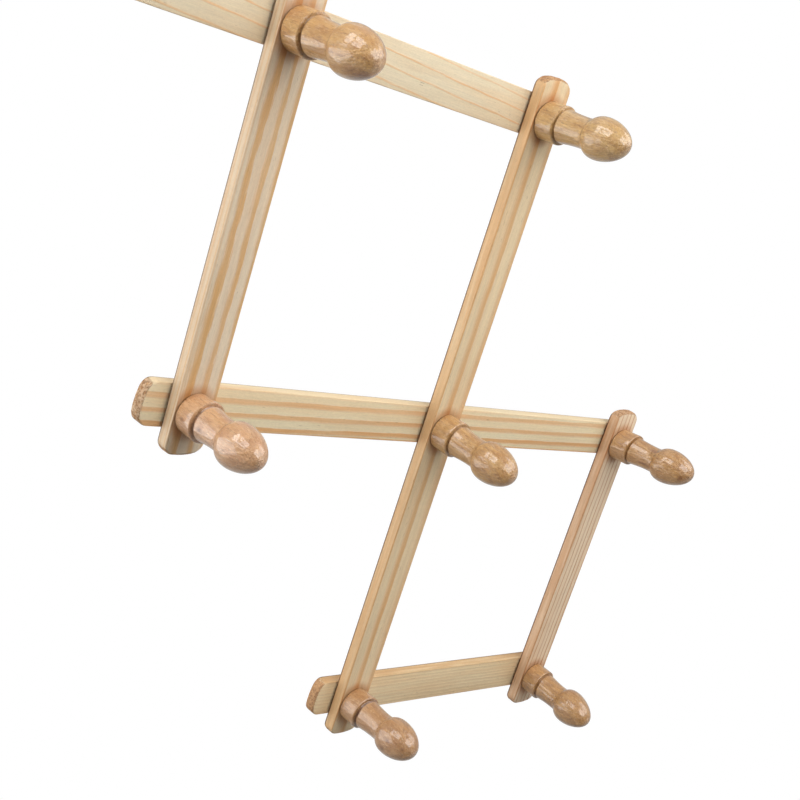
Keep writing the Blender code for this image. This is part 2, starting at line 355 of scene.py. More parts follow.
def pine(
    name, seed, stand, collars, face, edge, first, run, late, soft, depth, side, flank,
    chipped, tone,
):
    """Sawn and sanded pine. Local X is along the slat, Y across it, Z through it."""
    s = Shader(f"pine_{name}", stand)
    pale, dark = PINE_TONES[tone]

    # growth rings, slightly curved, with their dark lines
    spacing = 1 / hypot(1 / face, 1 / edge)
    turn = atan2(1 / edge, 1 / face)
    across = s.along((run * cos(turn), cos(turn), sin(turn)))
    through = s.along((0.0, -sin(turn), cos(turn)))
    bow = s.math("MULTIPLY", s.math("POWER", through, 2.0), 0.5 / PITH)
    front = SLAT_THICKNESS / 2 / MM
    start = first * cos(turn) + front * sin(turn)
    start += (front * cos(turn) - first * sin(turn)) ** 2 / (2 * PITH)
    wander = s.math("MULTIPLY_ADD", s.noise((0.008, 0.02, 0.02), seed), 2.4, -1.2)
    waver = s.math("MULTIPLY_ADD", s.noise((0.05, 0.2, 0.2), seed + 3), 0.7, -0.35)
    fray = s.math("MULTIPLY_ADD", s.noise((0.10, 1.5, 1.5), seed + 5, 4.0, 0.6), 1.0, -0.5)
    radius = s.total(across, bow, wander, waver, fray)
    part, count = s.rings(radius, spacing, LINE_AT - start / spacing, seed)
    rise = s.remap(part, LINE_AT - late - soft, LINE_AT - late + soft * 0.3)
    fall = s.remap(part, 0.90, 1.0, 1.0, 0.0)
    strength = s.remap(s.per_ring(count, seed), 0.0, 1.0, 0.7, 1.0, smooth=False)
    patchy = s.remap(s.noise((0.02, 0.3, 0.3), seed + 9, 3.0), 0.3, 0.7, 0.78, 1.05)
    strength = s.product(strength, patchy)
    latewood = s.product(rise, fall, strength)

    # dark lines along the two long edges
    aside = s.math("MULTIPLY_ADD", s.noise((0.03, 0.5, 0.5), seed + 13, 2.0), 1.2, -0.6)
    aside = s.math("ADD", s.along((0.0, 1.0, 0.0)), aside)
    for way, amount in zip((-1, 1), flank):
        reach = s.math("MULTIPLY", aside, way)
        off = s.math("ABSOLUTE", s.math("SUBTRACT", reach, FLANK_AT))
        line = s.remap(off, 0.2, 0.9, amount, 0.0)
        beyond = s.remap(reach, 9.5, 10.1, 0.0, amount * 0.25)
        latewood = s.math("MAXIMUM", latewood, s.math("MAXIMUM", line, beyond))
    share = s.remap(s.faces((0.0, 1.0, 0.0)), 0.75, 0.98, depth, depth * side)
    colour = s.mix(s.product(latewood, share), pale, dark)

    # blotches, streaks, fibres, resin ducts
    blotch = s.remap(s.noise((0.012, 0.12, 0.12), seed + 11, 3.0), 0.38, 0.66)
    colour = s.mix(s.product(blotch, 0.22), colour, PINE_BLOTCH, "MULTIPLY")
    streak = s.noise((0.015, 0.9, 0.9), seed + 17, 3.0, 0.6)
    fibre = s.noise((0.12, 4.5, 4.5), seed + 23, 4.0, 0.65)
    speckle = s.noise((0.6, 1.3, 1.3), seed + 29, 4.0, 0.8)
    shade = s.total(
        s.remap(streak, 0.3, 0.7, -0.05, 0.05, smooth=False),
        s.remap(fibre, 0.3, 0.7, -0.07, 0.07, smooth=False),
        s.remap(speckle, 0.3, 0.7, -0.06, 0.06, smooth=False),
        1.0,
    )
    colour = s.tint(colour, shade)
    ducts = s.remap(s.noise((0.16, 2.4, 2.4), seed + 31, 1.0), 0.755, 0.79)
    colour = s.mix(s.product(ducts, 0.6), colour, PINE_DUCT)

    # painted shade on the back edge, for the shadowed gap against the wall or the other layer
    back = s.remap(s.along((0.0, 0.0, 1.0)), -2.8, -1.7, 0.95, 0.0)
    flat = s.faces((0.0, 0.0, 1.0))
    back = s.product(back, s.remap(flat, 0.93, 0.995, 1.0, 0.12))
    colour = s.mix(back, colour, PINE_BACK_EDGE_SHADE, "MULTIPLY")

    # painted shade round the collars, standing in for the pegs' shadow on the slat, partly
    # grime from handling
    rim = COLLAR_RADIUS / MM
    for x in collars:
        away = s.vector("SUBTRACT", s.place, (x / MM, 0.0, front))
        away = s.math("ADD", s.vector("LENGTH", away), s.product(aside, 0.05))
        collar_shade_and_grime = s.remap(away, rim, rim + COLLAR_SHADE_REACH, 0.62, 0.0)
        collar_shade_and_grime = s.product(collar_shade_and_grime, s.remap(flat, 0.6, 0.95))
        colour = s.mix(collar_shade_and_grime, colour, PINE_COLLAR_SHADE_AND_GRIME, "MULTIPLY")

    # rough end grain
    chip = s.noise((0.35, 0.7, 0.7), seed + 39, 4.0, 0.65)
    facing = s.math("ADD", s.faces((1.0, 0.0, 0.0)), s.math("MULTIPLY_ADD", chip, 0.8, -0.4))
    end = s.remap(facing, 0.42, 0.62)
    pores = s.noise((0.5, 1.0, 1.0), seed + 37, 5.0, 0.75)
    chips = s.remap(chip, 0.44, 0.56, 0.0, chipped)
    split = s.math("ABSOLUTE", s.math("SUBTRACT", chip, 0.46))
    crack = s.remap(split, 0.0, 0.025, chipped, 0.0)
    end_colour = s.mix(s.remap(pores, 0.32, 0.60), END_PORE, END_WOOD)
    end_colour = s.mix(s.product(latewood, 0.4), end_colour, END_RING)
    end_colour = s.mix(s.product(chips, 0.6), end_colour, END_CHIP)
    end_colour = s.mix(s.product(crack, 0.5), end_colour, END_CRACK)
    colour = s.mix(s.product(end, 0.9), colour, end_colour)
    s.put(s.surface.inputs["Base Color"], colour)

    rough = s.total(s.remap(fibre, 0.3, 0.7, 0.50, 0.66), s.product(end, 0.2))
    rough = s.math("SUBTRACT", rough, s.product(latewood, 0.08))
    s.put(s.surface.inputs["Roughness"], rough)
    s.surface.inputs["Specular IOR Level"].default_value = 0.3
    grain = s.total(
        s.product(latewood, 0.06),
        s.product(fibre, 0.06),
        s.product(speckle, 0.05),
        s.product(s.total(pores, chips), end, 0.3),
    )
    s.bump(grain)
    return s.material


# ---- varnished beech -------------------------------------------------------
# the pale and the dark of each peg's mottled wood
PEG_TINTS = {
    "golden": (linear(210, 165, 105), linear(180, 125, 66)),
    "straw": (linear(218, 179, 118), linear(191, 141, 82)),
    "pink": (linear(218, 171, 125), linear(191, 135, 92)),
    "tan": (linear(206, 158, 100), linear(170, 117, 65)),
    "brown": (linear(201, 153, 103), linear(161, 111, 66)),
}
BEECH_BAND = linear(150, 100, 60)
BEECH_RAY = linear(138, 86, 46)
BEECH_PORE = linear(124, 76, 40)
BEECH_FLECK = linear(234, 204, 162)
BEECH_CRACK = linear(96, 58, 32)
MARK_HALO = linear(146, 94, 56)
MARK_HEART = linear(104, 62, 34)
# the groove's colour: partly a burn line, partly painted shade in the recess
GROOVE_BURN_AND_SHADE = linear(98, 56, 28)
SEAM_DARK = linear(120, 74, 40)
# painted shade where the collar meets the slat
FOOT_SHADE = linear(88, 50, 24)
NIB_PIT = linear(160, 108, 66)
NIB_WOOD = linear(226, 190, 150)
BEECH_RING = 3.1


def beech(name, seed, tint, turn, lean, flaws, groove, groove_burn_and_shade, marks):
    """Turned beech under clear varnish. Local Z is the peg's axis, 0 at the collar's base."""
    s = Shader(f"beech_{name}")
    pale, dark = PEG_TINTS[tint]
    along = s.along((0.0, 0.0, 1.0))

    # rings, mottle, rays, pores, flecks and fine cracks
    across = s.along((1.0, 0.0, 0.035))
    wander = s.math("MULTIPLY_ADD", s.noise((0.05, 0.05, 0.03), seed), 3.0, -1.5)
    fray = s.math("MULTIPLY_ADD", s.noise((1.2, 1.2, 0.15), seed + 5), 0.7, -0.35)
    part, count = s.rings(s.total(across, wander, fray), BEECH_RING, 0.3, seed)
    band = s.product(
        s.remap(part, 0.2, 0.9),
        s.remap(part, 0.9, 1.0, 1.0, 0.0),
        s.remap(s.per_ring(count, seed), 0.0, 1.0, 0.2, 1.0),
    )
    mottle = s.remap(s.noise((0.26, 0.26, 0.10), seed + 7, 5.0, 0.65), 0.34, 0.66)
    colour = s.mix(s.product(mottle, 0.62), pale, dark)
    colour = s.mix(s.product(band, 0.34), colour, BEECH_BAND)
    rays = s.remap(s.noise((1.3, 1.3, 0.16), seed + 13, 3.0, 0.6), 0.52, 0.70)
    colour = s.mix(s.product(rays, 0.44), colour, BEECH_RAY)
    pores = s.remap(s.noise((3.4, 3.4, 0.5), seed + 19, 2.0), 0.56, 0.70)
    colour = s.mix(s.product(pores, 0.36), colour, BEECH_PORE)
    flecks = s.remap(s.noise((1.2, 1.2, 0.5), seed + 41, 3.0, 0.7), 0.54, 0.68)
    colour = s.mix(s.product(flecks, 0.42), colour, BEECH_FLECK)
    cracks = s.noise((1.3, 1.3, 0.14), seed + 43, 2.0, 0.6)
    cracks = s.remap(cracks, 0.70 - flaws, 0.75 - flaws)
    colour = s.mix(s.product(cracks, 0.6), colour, BEECH_CRACK)
    # the marks: knots and streaks in the wood, and on middle_2 a patch of painted shade
    for angle, height, reach, size, length in marks:
        angle = radians(angle) - turn
        x = reach * cos(angle) + lean.x * height
        y = reach * sin(angle) + lean.y * height
        colour = knot_or_shade_patch(s, colour, seed, (x, y, height), size, length)

    # darker in the groove, partly a burn line and partly painted shade; darker at the head's
    # step; painted shade at the collar's foot, where it meets the slat
    ragged = s.math("MULTIPLY_ADD", s.noise((0.8, 0.8, 0.8), seed + 47, 3.0), 0.5, -0.25)
    height = s.math("ADD", along, ragged)
    floor = COLLAR_LENGTH / MM
    top = floor + groove
    in_groove = s.product(
        s.remap(height, floor - 0.1, floor + 0.2),
        s.remap(height, top - 0.4, top - 0.05, 1.0, 0.0),
    )
    # darker in the groove, partly a burn line and partly painted shade
    colour = s.mix(s.product(in_groove, groove_burn_and_shade), colour, GROOVE_BURN_AND_SHADE)
    # darker at the head's step
    seam = s.math("ABSOLUTE", s.math("SUBTRACT", along, HEAD_START / MM - 0.2))
    colour = s.mix(s.remap(seam, 0.1, 0.6, 0.35, 0.0), colour, SEAM_DARK)
    # painted shade at the collar's foot, where it meets the slat
    foot_shade = s.remap(height, 0.1, 0.6, 0.85, 0.0)
    colour = s.mix(foot_shade, colour, FOOT_SHADE)

    # bare end grain where the peg was cut from its blank
    nib = s.remap(height, PEG_LENGTH / MM - 0.9, PEG_LENGTH / MM - 0.35)
    pits = s.noise((1.3, 1.3, 1.3), seed + 53, 4.0, 0.7)
    nib_colour = s.mix(s.remap(pits, 0.40, 0.60), NIB_PIT, NIB_WOOD)
    colour = s.mix(s.product(nib, 0.55), colour, nib_colour)
    s.put(s.surface.inputs["Base Color"], colour)

    # varnish over tool marks, brushed on unevenly
    s.put(s.surface.inputs["Roughness"], s.remap(mottle, 0.0, 1.0, 0.30, 0.42))
    s.surface.inputs["Specular IOR Level"].default_value = 0.8
    s.surface.inputs["Coat Weight"].default_value = 1.0
    s.surface.inputs["Coat Roughness"].default_value = 0.08
    s.surface.inputs["Coat IOR"].default_value = 1.55
    tool = s.noise_along(s.product(along, 1.6), seed, 3.0)
    lumps = s.noise((0.34, 0.34, 0.14), seed + 59, 2.0, 0.5)
    ripple = s.noise((0.9, 0.9, 0.4), seed + 61, 3.0, 0.6)
    peel = s.noise((3.0, 3.0, 2.0), seed + 67, 2.0)
    streaks = s.noise((1.9, 1.9, 0.22), seed + 73, 2.0, 0.5)
    surface = s.total(
        s.product(tool, 0.06),
        s.product(lumps, 0.9),
        s.product(ripple, 0.34),
        s.product(peel, 0.08),
        s.product(streaks, 0.22),
        s.product(s.total(rays, cracks), -0.04),
        s.product(pits, nib, 0.25),
    )
    s.bump(surface)
    return s.material


def knot_or_shade_patch(s, colour, seed, centre, size, length):
    """A dark mark: a knot in the wood, an eye where size and length are alike, or else a
    streak; on middle_2, a patch of painted shade.
    """
    away = s.vector("SUBTRACT", s.place, centre)
    away = s.vector("MULTIPLY", away, (1 / size, 1 / size, 1 / length))
    ragged = s.math("MULTIPLY_ADD", s.noise((0.9, 0.9, 0.5), seed + 71, 3.0, 0.6), 0.9, -0.45)
    gone = s.math("ADD", s.vector("LENGTH", away), ragged)
    halo = s.remap(gone, 0.5, 1.6, 0.5, 0.0)
    colour = s.mix(halo, colour, MARK_HALO)
    heart = s.remap(gone, 0.25, 0.75, 0.38, 0.0)
    return s.mix(heart, colour, MARK_HEART)


# ---- zinc plated steel -----------------------------------------------------
def zinc(name, colour, brushed):
    """Zinc plate, clouded, with fine scratches; brushed is their cycles a millimetre."""
    s = Shader(name)
    cloud = s.noise((0.5, 0.5, 0.5), 2.0, 3.0)
    scratch = s.noise(brushed, 7.0, 3.0, 0.7)
    shade = s.remap(cloud, 0.3, 0.7, 0.84, 1.06)
    s.put(s.surface.inputs["Base Color"], s.tint(colour, shade))
    s.surface.inputs["Metallic"].default_value = 1.0
    s.put(s.surface.inputs["Roughness"], s.remap(scratch, 0.3, 0.7, 0.24, 0.44))
    s.bump(s.product(scratch, 0.02))
    return s.material


# ---- mesh building ---------------------------------------------------------
def finished(name, shell, material, sharp=35):
    """An object from a bmesh, its faces pointing out and its edges shaded by angle."""
    bmesh.ops.recalc_face_normals(shell, faces=shell.faces)
    mesh = bpy.data.meshes.new(name)
    shell.to_mesh(mesh)
    shell.free()
    mesh.materials.append(material)
    mesh.shade_smooth()
    mesh.set_sharp_from_angle(angle=radians(sharp))
    made = bpy.data.objects.new(name, mesh)
    bpy.context.scene.collection.objects.link(made)
    return made


def lathe(rows, segments, ridge=None):
    """A closed turned body from (radius, height) rows, the first and last on the axis.

    ridge(radius, height, angle) may change a point's radius, as a thread does.
    """
    shell = bmesh.new()
    loops = []
    for radius, height in rows:
        if radius == 0:
            loops.append([shell.verts.new((0, 0, height))])
            continue
        loop = []
        for i in range(segments):
            angle = 2 * pi * i / segments
            reach = ridge(radius, height, angle) if ridge else radius
            loop.append(shell.verts.new((reach * cos(angle), reach * sin(angle), height)))
        loops.append(loop)
    for upper, lower in zip(loops, loops[1:]):
        for i in range(segments):
            j = (i + 1) % segments
            corners = [upper[i % len(upper)], upper[j % len(upper)]]
            corners += [lower[j % len(lower)], lower[i % len(lower)]]
            face = list(dict.fromkeys(corners))
            if len(face) > 2:
                shell.faces.new(face)
    return shell


def place(piece, centre, turn, node):
    """Stand a piece at its pivot with its own +Z to the front, and tie it to its node."""
    facing = Matrix.Rotation(pi / 2, 4, "X") @ Matrix.Rotation(turn, 4, "Z")
    piece.matrix_world = Matrix.Translation(centre) @ facing
    tie(piece, node)


def tie(piece, node):
    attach(piece, BODY_OF[node])
    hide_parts(node)


# ---- slats -----------------------------------------------------------------
def slat_rim(half_length):
    """Outline of a slat: (x, y, way it faces) points, anticlockwise.

    Each end is a shallow crown between two rounded corners.
    """
    rise = SLAT_WIDTH / 2 - CORNER_RADIUS
    reach = END_CROWN - CORNER_RADIUS
    meet = asin(rise / reach)
    inset = END_CROWN - reach * cos(meet)
    right = []
    for step in range(CORNER_STEPS + 1):
        turn = -pi / 2 + (pi / 2 - meet) * step / CORNER_STEPS
        centre = (half_length - inset, -rise)
        right.append((centre, CORNER_RADIUS, turn))
    for step in range(1, CROWN_STEPS):
        turn = -meet + 2 * meet * step / CROWN_STEPS
        right.append(((half_length - END_CROWN, 0), END_CROWN, turn))
    for step in range(CORNER_STEPS + 1):
        turn = meet + (pi / 2 - meet) * step / CORNER_STEPS
        centre = (half_length - inset, rise)
        right.append((centre, CORNER_RADIUS, turn))
    end = [(c[0] + r * cos(t), c[1] + r * sin(t), t) for c, r, t in right]
    straight = half_length - inset
    steps = round(2 * straight / SIDE_STEP)
    stops = [straight - 2 * straight * i / steps for i in range(1, steps)]
    top = [(x, SLAT_WIDTH / 2, pi / 2) for x in stops]
    back = [(-x, -y, t + pi) for x, y, t in end]
    bottom = [(-x, -y, t + pi) for x, y, t in top]
    return end + top + back + bottom


def edge_ease(x, half_length):
    """The edges are sanded rounder at the slat's ends."""
    near = max(0.0, 1 - (half_length - abs(x)) / (7 * MM))
    return LONG_EDGE_EASE + (END_EDGE_EASE - LONG_EDGE_EASE) * near * near


def slat_shell(half_length, seed):
    """The slat's plate: rounded edges, rough sawn ends, and faces that are nearly true."""
    shell = bmesh.new()
    rim = slat_rim(half_length)
    half = SLAT_THICKNESS / 2
    # from the front edge's arc, down the straight wall, and round the back edge's arc
    arc_steps = 5
    wall_steps = 4
    rings = []
    for level in range(2 * arc_steps + wall_steps):
        ring = []
        for x, y, turn in rim:
            ease = edge_ease(x, half_length)
            low_ease = max(ease, BACK_EDGE_EASE)
            if level <= arc_steps:
                tilt = pi / 2 * (1 - level / arc_steps)
                z = half - ease + ease * sin(tilt)
            elif level < arc_steps + wall_steps:
                tilt = 0.0
                share = (level - arc_steps) / wall_steps
                z = (half - ease) + share * (low_ease + ease - 2 * half)
            else:
                tilt = -pi / 2 * (level - arc_steps - wall_steps) / arc_steps
                ease = low_ease
                z = -(half - ease) + ease * sin(tilt)
            back = ease * (1 - cos(tilt))
            spot = Vector((x - back * cos(turn), y - back * sin(turn), z))
            ring.append(shell.verts.new(worn(spot, turn, tilt, seed)))
        rings.append(ring)
    final = []
    for x, y, turn in rim:
        ease = max(edge_ease(x, half_length), BACK_EDGE_EASE)
        spot = Vector((x - ease * cos(turn), y - ease * sin(turn), -half))
        final.append(shell.verts.new(worn(spot, turn, -pi / 2, seed)))
    rings.append(final)
    count = len(rim)
    for upper, lower in zip(rings, rings[1:]):
        for i in range(count):
            j = (i + 1) % count
            shell.faces.new((upper[i], upper[j], lower[j], lower[i]))
    for ring in (rings[0], rings[-1]):
        ladder(shell, ring)
    return shell


def worn(spot, turn, tilt, seed):
    """A point moved in a little: waviness along the sides, sawn roughness at the ends."""
    outward = Vector((cos(turn) * cos(tilt), sin(turn) * cos(tilt), sin(tilt)))
    at = spot / MM
    wave = noise.noise(Vector((at.x * 0.02 + seed, at.y * 0.05, at.z * 0.1)))
    depth = SIDE_WEAR * (1 + wave) * abs(outward.y)
    if abs(outward.x) > 0.35:
        grain = noise.noise(Vector((at.x * 0.4 + seed, at.y * 1.1, at.z * 1.3)))
        depth += END_WEAR * (1 + grain) * abs(outward.x)
    return spot - outward * depth


def ladder(shell, ring):
    """Fill a flat end-to-end outline with rungs between its two long sides."""
    count = len(ring)
    apex = CORNER_STEPS + CROWN_STEPS // 2
    half = count // 2
    left = [ring[(apex + k) % count] for k in range(half + 1)]
    right = [ring[(apex - k) % count] for k in range(half + 1)]
    for k in range(half):
        corners = list(dict.fromkeys([left[k], left[k + 1], right[k + 1], right[k]]))
        if len(corners) > 2:
            shell.faces.new(corners)


def drilled(piece, stations, layer):
    """Bore the slat at each of its pivots, and counterbore the rear ones from the back."""
    half = SLAT_THICKNESS / 2
    over = half + MM
    flare = BORE_EASE + MM
    rows = [(0, over), (BORE_RADIUS + flare, over), (BORE_RADIUS, half - BORE_EASE)]
    mouth = BORE_RADIUS
    if layer == "rear":
        seat = COUNTERBORE_DEPTH - half
        mouth = COUNTERBORE_RADIUS
        rows += [(BORE_RADIUS, seat), (mouth, seat)]
    rows += [(mouth, -half + BORE_EASE), (mouth + flare, -over), (0, -over)]
    for x in stations:
        tool = finished("cutter", lathe(rows, BORE_SEGMENTS), piece.data.materials[0])
        tool.location.x = x
        carve(piece, tool)


def carve(piece, tool):
    """Cut the tool's shape out of the piece, and throw the tool away."""
    cut = piece.modifiers.new("cut", "BOOLEAN")
    cut.operation = "DIFFERENCE"
    cut.object = tool
    bpy.context.view_layer.update()
    bake(piece)
    bpy.data.objects.remove(tool)


def bake(piece):
    """Replace a piece's mesh by what its modifiers make of it."""
    graph = bpy.context.evaluated_depsgraph_get()
    mesh = bpy.data.meshes.new_from_object(piece.evaluated_get(graph))
    piece.modifiers.clear()
    piece.data = mesh


def make_slat(layer, index, seed):
    """One slat, its mesh moved to its place so that its bounds are its own."""
    node = f"{layer}_slat_{index}"
    long = index in (2, 3)
    spans = 2 if long else 1
    half_length = spans * PITCH / 2 + OVERHANG[layer]
    stations = (-PITCH, 0, PITCH) if long else (-PITCH / 2, PITCH / 2)
    slope = FOLD_ANGLE if layer == "rear" else -FOLD_ANGLE
    stand = Matrix.Rotation(pi / 2, 4, "X") @ Matrix.Rotation(slope, 4, "Z")
    stand = Matrix.Translation(middle_of(node)) @ stand
    collars = stations if layer == "front" else ()
    finish = pine(node, seed * 7.3, stand, collars, **PINE[node])
    piece = finished(f"pine_{node}", slat_shell(half_length, seed * 3.1), finish)
    drilled(piece, stations, layer)
    piece.data.shade_smooth()
    piece.data.set_sharp_from_angle(angle=radians(35))
    piece.data.transform(stand)
    tie(piece, node)


# ---- pegs ------------------------------------------------------------------
# Each peg was turned and fitted by hand: its tint, its lean to +X and to +Z in degrees
# from the square, how many fine cracks show in its wood, how wide its groove is in
# millimetres and how dark its groove is painted, partly a burn line and partly painted
# shade, and its marks. A mark is the angle it faces, its height on the peg, its distance
# from the axis, and its width and length in millimetres.
PEGS = {
    "middle_1": ("tan", 0.8, -1.2, 0.00, 1.3, 0.35, ()),
    # middle_2's two marks are painted shade: a dark patch on its head's underside, where it
    # falls in shade
    "middle_2": (
        "golden", -1.3, -2.1, 0.00, 1.2, 0.42,
        ((-62, 42, 7.6, 4.4, 4.0), (-48, 44.5, 6.6, 3.4, 2.8)),
    ),
    "middle_3": ("golden", 2.8, -0.6, 0.00, 1.2, 0.35, ()),
    "middle_4": ("tan", -1.6, -3.0, 0.00, 1.3, 0.30, ()),
    "top_1": ("pink", -1.0, 0.9, 0.00, 1.4, 0.35, ((40, 33, 9.8, 1.2, 1.6),)),
    "top_2": ("straw", -1.6, 0.9, 0.00, 1.0, 0.25, ()),
    "top_3": (
        "tan", 2.8, 6.4, 0.02, 0.8, 0.25,
        ((-116, 45.6, 6.2, 2.0, 1.5), (-107, 22.5, 7.4, 1.1, 5.0), (176, 24, 7.4, 1.4, 3.0)),
    ),
    "bottom_1": ("straw", 1.4, 1.2, 0.00, 1.2, 0.30, ()),
    "bottom_2": (
        "pink", -2.6, -1.0, 0.00, 1.7, 0.45,
        ((-129, 15.2, 7.5, 1.5, 1.5), (-130, 4.9, 9.3, 1.0, 1.5)),
    ),
    "bottom_3": (
        "brown", -1.4, 0.3, 0.03, 1.7, 0.65,
        (
            (-146, 37, 9.9, 1.3, 2.2), (-148, 45.4, 6.4, 1.3, 1.3),
            (-112, 35, 9.9, 1.6, 1.8), (-147, 11.6, 7.6, 1.5, 0.8),
        ),
    ),
}


def peg_rows(dice, groove):
    """The turned outline, from the tip down to the tenon and up the pilot hole."""
    head_start = HEAD_START + dice.uniform(-0.3, 0.3) * MM
    widest = HEAD_WIDEST + dice.uniform(-0.025, 0.025)
    head_radius = HEAD_RADIUS - dice.uniform(0.0, 0.2) * MM
    taper = HEAD_TAPER + dice.uniform(-0.12, 0.12)
    head_length = PEG_LENGTH - head_start
    rows = [
        (0, PEG_LENGTH),
        (NIB_RADIUS * 0.5, PEG_LENGTH - 0.02 * MM),
        (NIB_RADIUS, PEG_LENGTH - 0.12 * MM),
    ]
    for i in range(NOSE_STEPS + 1):
        share = cos(pi / 2 * i / NOSE_STEPS)
        along = widest + (1 - widest) * share
        radius = head_radius * sqrt(max(0.0, 1 - share**taper))
        if radius > NIB_RADIUS * 1.12:
            rows.append((radius, head_start + along * head_length))
    rim = NECK_RADIUS_TIP + HEAD_STEP
    for i in range(1, HEEL_STEPS + 1):
        share = 1 - i / HEEL_STEPS
        radius = rim + (head_radius - rim) * (1 - (1 - share) ** SHOULDER)
        rows.append((radius, head_start + widest * head_length * share))
    rows.append((rim - 0.3 * MM, head_start - 0.1 * MM))
    neck_start = COLLAR_LENGTH + groove
    for i in range(1, NECK_STEPS + 1):
        share = 1 - i / NECK_STEPS
        flare = (1 - share) ** 2.2
        radius = NECK_RADIUS_TIP + (NECK_RADIUS_ROOT - NECK_RADIUS_TIP) * flare
        radius += 0.35 * MM * share**6
        height = neck_start + 0.25 * MM + share * (head_start - neck_start - 0.45 * MM)
        rows.append((radius, height))
    # the groove was cut in two passes, which left ridges: (millimetres out, share of width)
    turns = [(0.25, 0.0), (0.55, 0.2), (0.0, 0.4), (0.45, 0.6), (0.05, 0.85), (0.30, 1.0)]
    rows += [(GROOVE_RADIUS + out * MM, neck_start - share * groove) for out, share in turns]
    rows += [
        (COLLAR_RADIUS - 0.75 * MM, COLLAR_LENGTH),
        (COLLAR_RADIUS - 0.35 * MM, COLLAR_LENGTH - 0.12 * MM),
        (COLLAR_RADIUS - 0.1 * MM, COLLAR_LENGTH - 0.4 * MM),
        (COLLAR_RADIUS - 0.02 * MM, COLLAR_LENGTH - 0.9 * MM),
        (COLLAR_RADIUS - 0.08 * MM, COLLAR_LENGTH * 0.66),
        (COLLAR_RADIUS - 0.08 * MM, COLLAR_LENGTH * 0.33),
        (COLLAR_RADIUS, 0.6 * MM),
        (COLLAR_RADIUS - 0.05 * MM, 0.2 * MM),
        (COLLAR_RADIUS - 0.25 * MM, 0),
        (TENON_RADIUS + 0.3 * MM, 0),
        (TENON_RADIUS, -0.2 * MM),
        (TENON_RADIUS, -TENON_LENGTH + 0.4 * MM),
        (TENON_RADIUS - 0.4 * MM, -TENON_LENGTH),
        (PILOT_RADIUS, -TENON_LENGTH),
        (PILOT_RADIUS, PILOT_DEPTH - TENON_LENGTH),
        (0, PILOT_DEPTH - TENON_LENGTH + PILOT_RADIUS),
    ]
    return rows


def make_peg(pivot, seed):
    """One peg: turned, a little lumpy, leaning, and with its own wood."""
    node = f"peg_{pivot}"
    tint, lean_x, lean_z, flaws, groove, groove_burn_and_shade, marks = PEGS[pivot]
    dice = random.Random(seed)
    turn = dice.uniform(0, 2 * pi)
    shell = lathe(peg_rows(dice, groove * MM), PEG_SEGMENTS)
    # the lean is sideways in the piece's own axes, and grows from the collar's base out
    sideways = Matrix.Rotation(-turn, 2) @ Vector((radians(lean_x), radians(lean_z)))
    for vertex in shell.verts:
        x, y, z = vertex.co
        out = max(0.0, z)
        lump = noise.noise(Vector((x, y, z)) / MM * 0.16 + Vector((seed, 0, 0)))
        swell = 1 - 0.004 * (1 + lump) if z > 0 else 1
        vertex.co = (x * swell + sideways.x * out, y * swell + sideways.y * out, z)
    finish = beech(pivot, seed * 5.9, tint, turn, sideways, flaws, groove, groove_burn_and_shade, marks)
    piece = finished(f"turned_{node}", shell, finish, sharp=30)
    centre = middle_of(f"washer_{pivot}")
    place(piece, Vector((centre.x, COLLAR_BASE, centre.z)), turn, node)


# ---- washers and screws ----------------------------------------------------
def make_washer(pivot, finish, turn):
    """A punched washer, rounder on the side it was punched from."""
    node = f"washer_{pivot}"
    half = WASHER_THICKNESS / 2
    rows = [
        (WASHER_HOLE_RADIUS, half - 0.06 * MM),
        (WASHER_HOLE_RADIUS + 0.10 * MM, half),
        (WASHER_RADIUS - WASHER_EDGE * 2, half),
        (WASHER_RADIUS - WASHER_EDGE * 0.6, half - WASHER_EDGE * 0.4),
        (WASHER_RADIUS, half - WASHER_EDGE * 1.4),
        (WASHER_RADIUS, -half + 0.03 * MM),
        (WASHER_RADIUS - 0.05 * MM, -half),
        (WASHER_HOLE_RADIUS + 0.05 * MM, -half),
        (WASHER_HOLE_RADIUS, -half + 0.08 * MM),
        (WASHER_HOLE_RADIUS, half - 0.06 * MM),
    ]
    shell = lathe(rows, WASHER_SEGMENTS)
    bmesh.ops.remove_doubles(shell, verts=shell.verts, dist=0.00001)
    piece = finished(f"zinc_{node}", shell, finish, sharp=30)
    place(piece, middle_of(node), turn, node)


def thread(radius, height, angle):
    """Radius on a coarse single-start wood-screw thread."""
    if radius > SCREW_RADIUS * 1.01 or height < 0.3 * MM:
        return radius
    phase = (height / SCREW_THREAD_PITCH - angle / (2 * pi)) % 1.0
    crest = max(0.0, 1 - abs(phase - 0.5) / 0.28)
    fade = min(1.0, (height - 0.3 * MM) / (1.2 * MM))
    core = radius * (1 - (1 - SCREW_CORE_RADIUS / SCREW_RADIUS) * fade)
    return core + (radius - core) * crest


